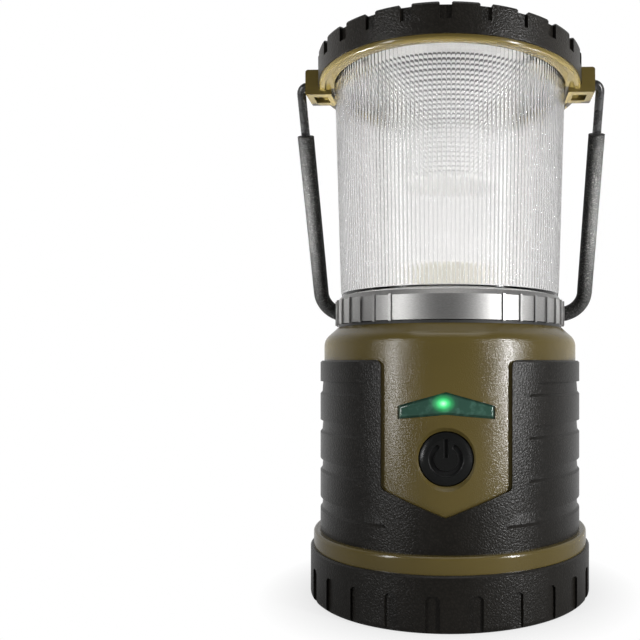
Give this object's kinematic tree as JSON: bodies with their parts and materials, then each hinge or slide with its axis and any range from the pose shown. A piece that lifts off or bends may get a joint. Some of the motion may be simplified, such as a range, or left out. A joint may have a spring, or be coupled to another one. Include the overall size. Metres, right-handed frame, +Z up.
{
  "type": "camping lantern",
  "caption": "Round rechargeable camping lantern with a rubber-armoured housing, a fluted clear globe, a swinging bail, a push button and a hinged port cover.",
  "frame": {"origin": "middle of the face it stands on", "axes": "+Z up along the lantern's axis, front with the button towards -Y, bail lugs at +X and -X"},
  "size_m": [0.1436, 0.124, 0.2361],
  "materials": {
    "black_rubber": "matte, fine leather grain",
    "olive_plastic": "satin, fine pebble texture",
    "screw_steel": "zinc plated",
    "seal_rubber": "smooth",
    "cell_wrap": "shrink wrap",
    "black_plastic": "fine",
    "nickel_strip": "nickel",
    "board_green": "solder mask",
    "indicator_led": "lit green",
    "green_window": "tinted, clear",
    "socket_steel": "stamped",
    "heat_sink_aluminium": "die cast",
    "board_white": "white solder mask",
    "led_phosphor": "lit white",
    "frosted_diffuser": "frosted",
    "reflector_white": "bright white",
    "lead_jacket": "smooth jacket",
    "ring_metal": "brushed, satin",
    "clear_lens": "clear fluted polycarbonate",
    "reflector_silver": "metallised",
    "bail_steel": "black coated",
    "grip_foam": "foamed, speckled",
    "button_rubber": "satin"
  },
  "bodies": {
    "housing": {"base_boot": "black_rubber", "base_cap": "olive_plastic", "base_screws": "screw_steel", "base_seal": "seal_rubber", "housing_shell": "olive_plastic", "grip_sleeve": "black_rubber", "neck_gasket": "seal_rubber", "cell_1": "cell_wrap", "cell_2": "cell_wrap", "cell_3": "cell_wrap", "cell_4": "cell_wrap", "cell_holder_lower": "black_plastic", "cell_holder_upper": "black_plastic", "cell_links_lower": "nickel_strip", "cell_links_upper": "nickel_strip", "main_board": "board_green", "main_board_screws": "screw_steel", "tact_switch": "black_plastic", "indicator_leds": "indicator_led", "indicator_window": "green_window", "port_board": "board_green", "port_board_screws": "screw_steel", "power_outlet": "socket_steel", "charge_inlet": "socket_steel", "heat_sink": "heat_sink_aluminium", "heat_sink_screws": "screw_steel", "led_board": "board_white", "led_chips": "led_phosphor", "diffuser_dome": "frosted_diffuser", "lower_reflector": "reflector_white", "cell_leads": "lead_jacket", "led_leads": "lead_jacket", "port_leads": "lead_jacket"},
    "globe": {"globe_ring": "ring_metal", "lens_seal": "seal_rubber", "lens": "clear_lens", "upper_reflector": "reflector_silver", "reflector_screws": "screw_steel", "handle_collar": "olive_plastic", "top_cap": "black_rubber"},
    "bail": {"bail_wire": "bail_steel", "bail_grip": "grip_foam"},
    "power_button": {"power_button": "button_rubber", "switch_plunger": "black_plastic"},
    "port_cover": {"port_cover": "black_rubber"}
  },
  "joints": [
    {"name": "globe_lift", "type": "slide", "parent": "housing", "child": "globe", "axis": [0, 0, 1], "range_m": [0, 0.1]},
    {"name": "bail_swing", "type": "hinge", "parent": "globe", "child": "bail", "pos_m": [0, 0, 0.2266], "axis": [1, 0, 0], "range_deg": [0, 305]},
    {"name": "button_press", "type": "slide", "parent": "housing", "child": "power_button", "axis": [0, 1, 0], "range_m": [0, 0.001], "stiffness_N_per_m": 1500, "springref_m": -0.0005},
    {"name": "port_cover_hinge", "type": "hinge", "parent": "housing", "child": "port_cover", "pos_m": [0, 0.0579, 0.0523], "axis": [-1, 0, 0], "range_deg": [0, 120]}
  ]
}
